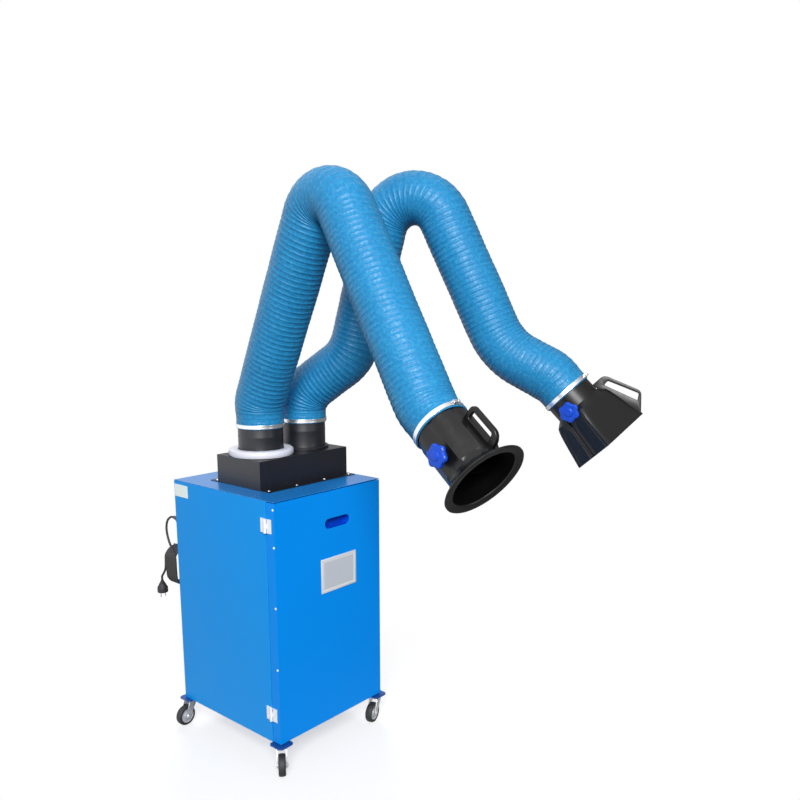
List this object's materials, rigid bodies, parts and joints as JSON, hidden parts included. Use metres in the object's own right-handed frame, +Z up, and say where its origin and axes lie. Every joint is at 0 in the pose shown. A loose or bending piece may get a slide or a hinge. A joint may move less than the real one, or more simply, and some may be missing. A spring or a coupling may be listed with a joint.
{
  "type": "mobile fume extractor with jointed hose arms",
  "caption": "Wheeled filter cabinet with a hinged front door and jointed hose arms that carry a flared round hood and a square slot hood, each with a damper knob and a handle.",
  "frame": {"origin": "on the floor under the middle of the cabinet", "axes": "+Z up, -Y towards the door and the arms, +X to the right seen from the front"},
  "size_m": [0.9262, 1.4987, 1.944],
  "materials": {
    "blue_paint": "gloss powder coat",
    "dark_blue_paint": "semi-gloss",
    "black_paint": "semi-gloss powder coat",
    "black_plastic": "satin moulded",
    "knob_blue": "gloss moulded",
    "hose_blue": "coated fabric over a wire spiral",
    "white_plastic": "gloss",
    "zinc": "zinc plated",
    "steel": "satin",
    "rubber": "matte",
    "filter_paper": "pleated paper"
  },
  "bodies": {
    "cabinet": {"cabinet_shell": "blue_paint", "base_pan": "blue_paint", "top_panel": "blue_paint", "upper_hinge_frame_leaf": "white_plastic", "lower_hinge_frame_leaf": "white_plastic", "caster_plate_front_left": "dark_blue_paint", "caster_plate_front_right": "dark_blue_paint", "caster_plate_rear_left": "dark_blue_paint", "caster_plate_rear_right": "dark_blue_paint", "filter_shelf": "zinc", "filter_cartridge": "filter_paper", "blower_housing": "zinc", "blower_motor": "dark_blue_paint", "exhaust_grille": "black_paint", "plenum_box": "black_paint", "left_slip_ring": "white_plastic", "right_slip_ring": "black_paint", "cable_gland": "black_plastic", "power_cord": "rubber", "cord_hank": "rubber", "power_plug": "rubber", "cord_hook": "zinc", "switch_housing": "black_plastic"},
    "door": {"front_door": "blue_paint", "upper_hinge_door_leaf": "white_plastic", "lower_hinge_door_leaf": "white_plastic"},
    "rocker": {"rocker_switch": "black_plastic"},
    "fan": {"impeller": "steel"},
    "caster_front_left": {"caster_fork_front_left": "zinc"},
    "wheel_front_left": {"caster_wheel_front_left": "rubber"},
    "caster_front_right": {"caster_fork_front_right": "zinc"},
    "wheel_front_right": {"caster_wheel_front_right": "rubber"},
    "caster_rear_left": {"caster_fork_rear_left": "zinc"},
    "wheel_rear_left": {"caster_wheel_rear_left": "rubber"},
    "caster_rear_right": {"caster_fork_rear_right": "zinc"},
    "wheel_rear_right": {"caster_wheel_rear_right": "rubber"},
    "left_turntable": {"left_collar": "black_paint", "left_shoulder_bracket": "steel", "left_base_clamp": "zinc", "left_hose": "hose_blue"},
    "left_lower_arm": {"left_lower_link": "steel"},
    "left_forearm": {"left_forearm": "steel"},
    "left_hood": {"left_hood": "black_plastic", "left_hood_clamp": "zinc", "left_wrist_bracket": "steel"},
    "left_damper": {"left_damper_blade": "steel", "left_damper_knob": "knob_blue"},
    "right_turntable": {"right_collar": "black_paint", "right_shoulder_bracket": "steel", "right_base_clamp": "zinc", "right_hose": "hose_blue"},
    "right_lower_arm": {"right_lower_link": "steel"},
    "right_forearm": {"right_forearm": "steel"},
    "right_hood": {"right_hood": "black_plastic", "right_hood_clamp": "zinc", "right_wrist_bracket": "steel"},
    "right_damper": {"right_damper_blade": "steel", "right_damper_knob": "knob_blue"}
  },
  "joints": [
    {"name": "door_hinge", "type": "hinge", "parent": "cabinet", "child": "door", "pos_m": [-0.2453, -0.2265, 0.5], "axis": [0, 0, -1], "range_deg": [0, 110]},
    {"name": "rocker_tilt", "type": "hinge", "parent": "cabinet", "child": "rocker", "pos_m": [0.15, 0.27, 0.738], "axis": [1, 0, 0], "range_deg": [-8, 8]},
    {"name": "fan_spin", "type": "hinge", "parent": "cabinet", "child": "fan", "pos_m": [0, -0.03, 0.25], "axis": [0, 0, 1], "continuous": true},
    {"name": "swivel_front_left", "type": "hinge", "parent": "cabinet", "child": "caster_front_left", "pos_m": [-0.227, -0.252, 0.098], "axis": [0, 0, 1], "continuous": true},
    {"name": "roll_front_left", "type": "hinge", "parent": "caster_front_left", "child": "wheel_front_left", "pos_m": [-0.24435, -0.27268, 0.036], "axis": [0.766, -0.6428, 0], "continuous": true},
    {"name": "swivel_front_right", "type": "hinge", "parent": "cabinet", "child": "caster_front_right", "pos_m": [0.227, -0.252, 0.098], "axis": [0, 0, 1], "continuous": true},
    {"name": "roll_front_right", "type": "hinge", "parent": "caster_front_right", "child": "wheel_front_right", "pos_m": [0.20092, -0.25899, 0.036], "axis": [0.2588, -0.9659, 0], "continuous": true},
    {"name": "swivel_rear_left", "type": "hinge", "parent": "cabinet", "child": "caster_rear_left", "pos_m": [-0.227, 0.252, 0.098], "axis": [0, 0, 1], "continuous": true},
    {"name": "roll_rear_left", "type": "hinge", "parent": "caster_rear_left", "child": "wheel_rear_left", "pos_m": [-0.2539, 0.24965, 0.036], "axis": [0.0872, -0.9962, 0], "continuous": true},
    {"name": "swivel_rear_right", "type": "hinge", "parent": "cabinet", "child": "caster_rear_right", "pos_m": [0.227, 0.252, 0.098], "axis": [0, 0, 1], "continuous": true},
    {"name": "roll_rear_right", "type": "hinge", "parent": "caster_rear_right", "child": "wheel_rear_right", "pos_m": [0.20362, 0.2385, 0.036], "axis": [0.5, -0.866, 0], "continuous": true},
    {"name": "left_swivel", "type": "hinge", "parent": "cabinet", "child": "left_turntable", "pos_m": [-0.065, 0, 1.01], "axis": [0, 0, 1], "range_deg": [-110, 10]},
    {"name": "left_shoulder", "type": "hinge", "parent": "left_turntable", "child": "left_lower_arm", "pos_m": [-0.06866, -0.02978, 1.208], "axis": [0.9925, -0.1219, 0], "range_deg": [-30, 40], "deforming": ["left_hose"]},
    {"name": "left_elbow", "type": "hinge", "parent": "left_lower_arm", "child": "left_forearm", "pos_m": [-0.11367, -0.39634, 1.86077], "axis": [-0.9925, 0.1219, 0], "range_deg": [-25, 80], "deforming": ["left_hose"]},
    {"name": "left_wrist", "type": "hinge", "parent": "left_forearm", "child": "left_hood", "pos_m": [-0.16451, -0.81045, 1.23753], "axis": [-0.9925, 0.1219, 0], "range_deg": [-60, 60], "deforming": ["left_hose"]},
    {"name": "left_damper_turn", "type": "hinge", "parent": "left_hood", "child": "left_damper", "pos_m": [-0.18053, -0.9409, 1.13777], "axis": [0.9953, -0.0797, -0.0556], "range_deg": [0, 90]},
    {"name": "right_swivel", "type": "hinge", "parent": "cabinet", "child": "right_turntable", "pos_m": [0.131, 0, 1.01], "axis": [0, 0, 1], "range_deg": [-10, 110]},
    {"name": "right_shoulder", "type": "hinge", "parent": "right_turntable", "child": "right_lower_arm", "pos_m": [0.14126, -0.02819, 1.208], "axis": [0.9397, 0.342, 0], "range_deg": [-30, 40], "deforming": ["right_hose"]},
    {"name": "right_elbow", "type": "hinge", "parent": "right_lower_arm", "child": "right_forearm", "pos_m": [0.26952, -0.38058, 1.85752], "axis": [-0.9397, -0.342, 0], "range_deg": [-25, 80], "deforming": ["right_hose"]},
    {"name": "right_wrist", "type": "hinge", "parent": "right_forearm", "child": "right_hood", "pos_m": [0.43543, -0.83641, 1.28552], "axis": [-0.9397, -0.342, 0], "range_deg": [-60, 60], "deforming": ["right_hose"]},
    {"name": "right_damper_turn", "type": "hinge", "parent": "right_hood", "child": "right_damper", "pos_m": [0.46362, -0.91386, 1.20107], "axis": [0.9679, 0.22, 0.1213], "range_deg": [0, 90]}
  ]
}
